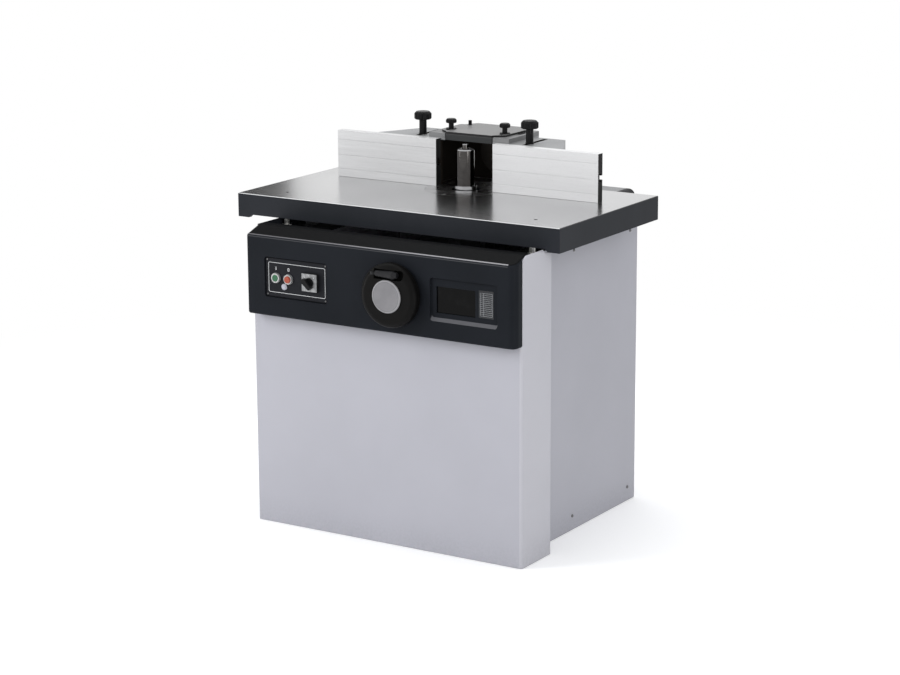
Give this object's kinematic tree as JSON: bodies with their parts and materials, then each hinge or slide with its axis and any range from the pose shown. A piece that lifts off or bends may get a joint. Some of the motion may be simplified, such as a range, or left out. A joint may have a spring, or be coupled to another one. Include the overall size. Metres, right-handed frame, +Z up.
{
  "type": "spindle moulder",
  "caption": "Free-standing spindle moulder: cast table with rings, sliding two-plate fence and hood, rising spindle, cabinet with control panel and handwheel.",
  "frame": {"origin": "on the floor, straight under the spindle's axis", "axes": "+Z up along the spindle, +X to the operator's right, +Y away from the operator"},
  "size_m": [1.022, 0.855, 1.0873],
  "materials": {
    "ground_iron": "ground top, charcoal painted skirt",
    "ring_steel": "turned",
    "zinc_steel": "zinc plated",
    "rail_aluminium": "satin anodised",
    "black_plastic": "fine grain",
    "cabinet_paint": "satin powder coat",
    "panel_paint": "satin powder coat",
    "frame_paint": "satin",
    "outlet_paint": "satin",
    "window_glass": "clear, smoked",
    "plate_black": "matt",
    "box_grey": "matt",
    "bezel_chrome": "polished",
    "green_plastic": "gloss",
    "red_plastic": "gloss",
    "lamp_white": "frosted",
    "switch_grey": "satin",
    "knob_black": "satin gloss",
    "cap_silver": "spun",
    "gearbox_iron": "painted",
    "bronze": "turned",
    "ground_steel": "ground",
    "carriage_iron": "painted",
    "motor_paint": "satin",
    "pulley_aluminium": "turned",
    "belt_rubber": "matt",
    "fence_aluminium": "satin anodised",
    "hood_casting": "painted casting",
    "cover_paint": "satin"
  },
  "bodies": {
    "cabinet": {"table": "ground_iron", "outer_ring": "ring_steel", "inner_ring": "ring_steel", "ring_screws": "zinc_steel", "rear_rail": "rail_aluminium", "rail_end_caps": "black_plastic", "jack_bolts": "zinc_steel", "base_frame": "frame_paint", "front_panel": "cabinet_paint", "right_side_panel": "cabinet_paint", "left_side_panel": "cabinet_paint", "rear_panel": "cabinet_paint", "right_column": "cabinet_paint", "top_frame": "frame_paint", "door_hinges": "zinc_steel", "dust_outlet": "outlet_paint", "control_panel": "panel_paint", "window_pane": "window_glass", "control_plate": "plate_black", "switch_box": "box_grey", "button_bezels": "bezel_chrome", "signal_lamp": "lamp_white", "switch_plate": "switch_grey", "handwheel_bush": "bronze", "lift_gearbox": "gearbox_iron", "gearbox_bracket": "frame_paint", "guide_columns": "ground_steel", "column_yoke": "frame_paint"},
    "door": {"rear_door": "cabinet_paint", "door_pull": "black_plastic"},
    "start": {"start_button": "green_plastic"},
    "stop": {"stop_button": "red_plastic"},
    "switch": {"switch_knob": "knob_black"},
    "wheel": {"handwheel": "black_plastic", "handwheel_cap": "cap_silver", "handwheel_shaft": "ground_steel", "handle_pin": "zinc_steel"},
    "handle": {"folding_handle": "knob_black"},
    "screw": {"lift_screw": "ground_steel"},
    "carriage": {"spindle_carriage": "carriage_iron", "lift_nut": "bronze", "spindle_bearings": "ground_steel", "motor_plate": "frame_paint", "motor": "motor_paint", "drive_belt": "belt_rubber"},
    "spindle": {"spindle_arbor": "ground_steel", "spindle_pulley": "pulley_aluminium", "arbor_cap_screw": "ground_steel"},
    "rotor": {"motor_pulley": "pulley_aluminium"},
    "fence": {"fence_hood": "hood_casting", "plate_bolts": "zinc_steel"},
    "cover": {"hood_cover": "cover_paint", "cover_stud": "knob_black"},
    "left_plate": {"left_fence_plate": "fence_aluminium"},
    "right_plate": {"right_fence_plate": "fence_aluminium"},
    "left_clamp": {"left_clamp_knob": "knob_black"},
    "right_clamp": {"right_clamp_knob": "knob_black"},
    "left_cover_clamp": {"left_cover_knob": "knob_black"},
    "right_cover_clamp": {"right_cover_knob": "knob_black"}
  },
  "joints": [
    {"name": "spindle_lift", "type": "slide", "parent": "cabinet", "child": "carriage", "axis": [0, 0, 1], "range_m": [-0.09, 0]},
    {"name": "handwheel_turn", "type": "hinge", "parent": "cabinet", "child": "wheel", "pos_m": [0.102, -0.54, 0.701], "axis": [0, 1, 0], "range_deg": [-8105, 0]},
    {"name": "lift_screw_turn", "type": "hinge", "parent": "cabinet", "child": "screw", "pos_m": [0.102, -0.11, 0.6], "axis": [0, 0, 1], "range_deg": [0, 8105]},
    {"name": "handle_fold", "type": "hinge", "parent": "wheel", "child": "handle", "pos_m": [0.056, -0.552, 0.759], "axis": [0, 0, -1], "range_deg": [0, 90]},
    {"name": "motor_spin", "type": "hinge", "parent": "carriage", "child": "rotor", "pos_m": [-0.2, 0.04, 0.58], "axis": [0, 0, 1], "continuous": true},
    {"name": "spindle_spin", "type": "hinge", "parent": "carriage", "child": "spindle", "pos_m": [0, 0, 0.8], "axis": [0, 0, 1], "continuous": true},
    {"name": "start_press", "type": "slide", "parent": "cabinet", "child": "start", "axis": [0, 1, 0], "range_m": [0, 0.004], "stiffness_N_per_m": 500},
    {"name": "stop_press", "type": "slide", "parent": "cabinet", "child": "stop", "axis": [0, 1, 0], "range_m": [0, 0.004], "stiffness_N_per_m": 500},
    {"name": "switch_turn", "type": "hinge", "parent": "cabinet", "child": "switch", "pos_m": [-0.16449, -0.526, 0.702], "axis": [0, 1, 0], "range_deg": [0, 90]},
    {"name": "fence_adjust", "type": "slide", "parent": "cabinet", "child": "fence", "axis": [0, 1, 0], "range_m": [-0.07, 0.015]},
    {"name": "left_plate_slide", "type": "slide", "parent": "fence", "child": "left_plate", "axis": [1, 0, 0], "range_m": [-0.04, 0.055]},
    {"name": "right_plate_slide", "type": "slide", "parent": "fence", "child": "right_plate", "axis": [-1, 0, 0], "range_m": [-0.04, 0.055]},
    {"name": "cover_slide", "type": "slide", "parent": "fence", "child": "cover", "axis": [0, 1, 0], "range_m": [0, 0.02]},
    {"name": "left_clamp_turn", "type": "hinge", "parent": "cabinet", "child": "left_clamp", "pos_m": [-0.174, 0.054, 1.06], "axis": [0, 0, 1], "range_deg": [0, 360]},
    {"name": "right_clamp_turn", "type": "hinge", "parent": "cabinet", "child": "right_clamp", "pos_m": [0.174, 0.054, 1.06], "axis": [0, 0, 1], "range_deg": [0, 360]},
    {"name": "left_cover_knob_turn", "type": "hinge", "parent": "fence", "child": "left_cover_clamp", "pos_m": [-0.0875, 0.066, 1.06], "axis": [0, 0, 1], "range_deg": [0, 360]},
    {"name": "right_cover_knob_turn", "type": "hinge", "parent": "fence", "child": "right_cover_clamp", "pos_m": [0.0875, 0.066, 1.06], "axis": [0, 0, 1], "range_deg": [0, 360]},
    {"name": "door_swing", "type": "hinge", "parent": "cabinet", "child": "door", "pos_m": [-0.262, 0.242, 0.34], "axis": [0, 0, 1], "range_deg": [0, 110]}
  ],
  "couplings": [
    {"joint": "handwheel_turn", "follows": "spindle_lift", "rad_per_m": 1570.8},
    {"joint": "lift_screw_turn", "follows": "spindle_lift", "rad_per_m": -1570.8},
    {"joint": "spindle_spin", "follows": "motor_spin", "ratio": 1.4762}
  ]
}
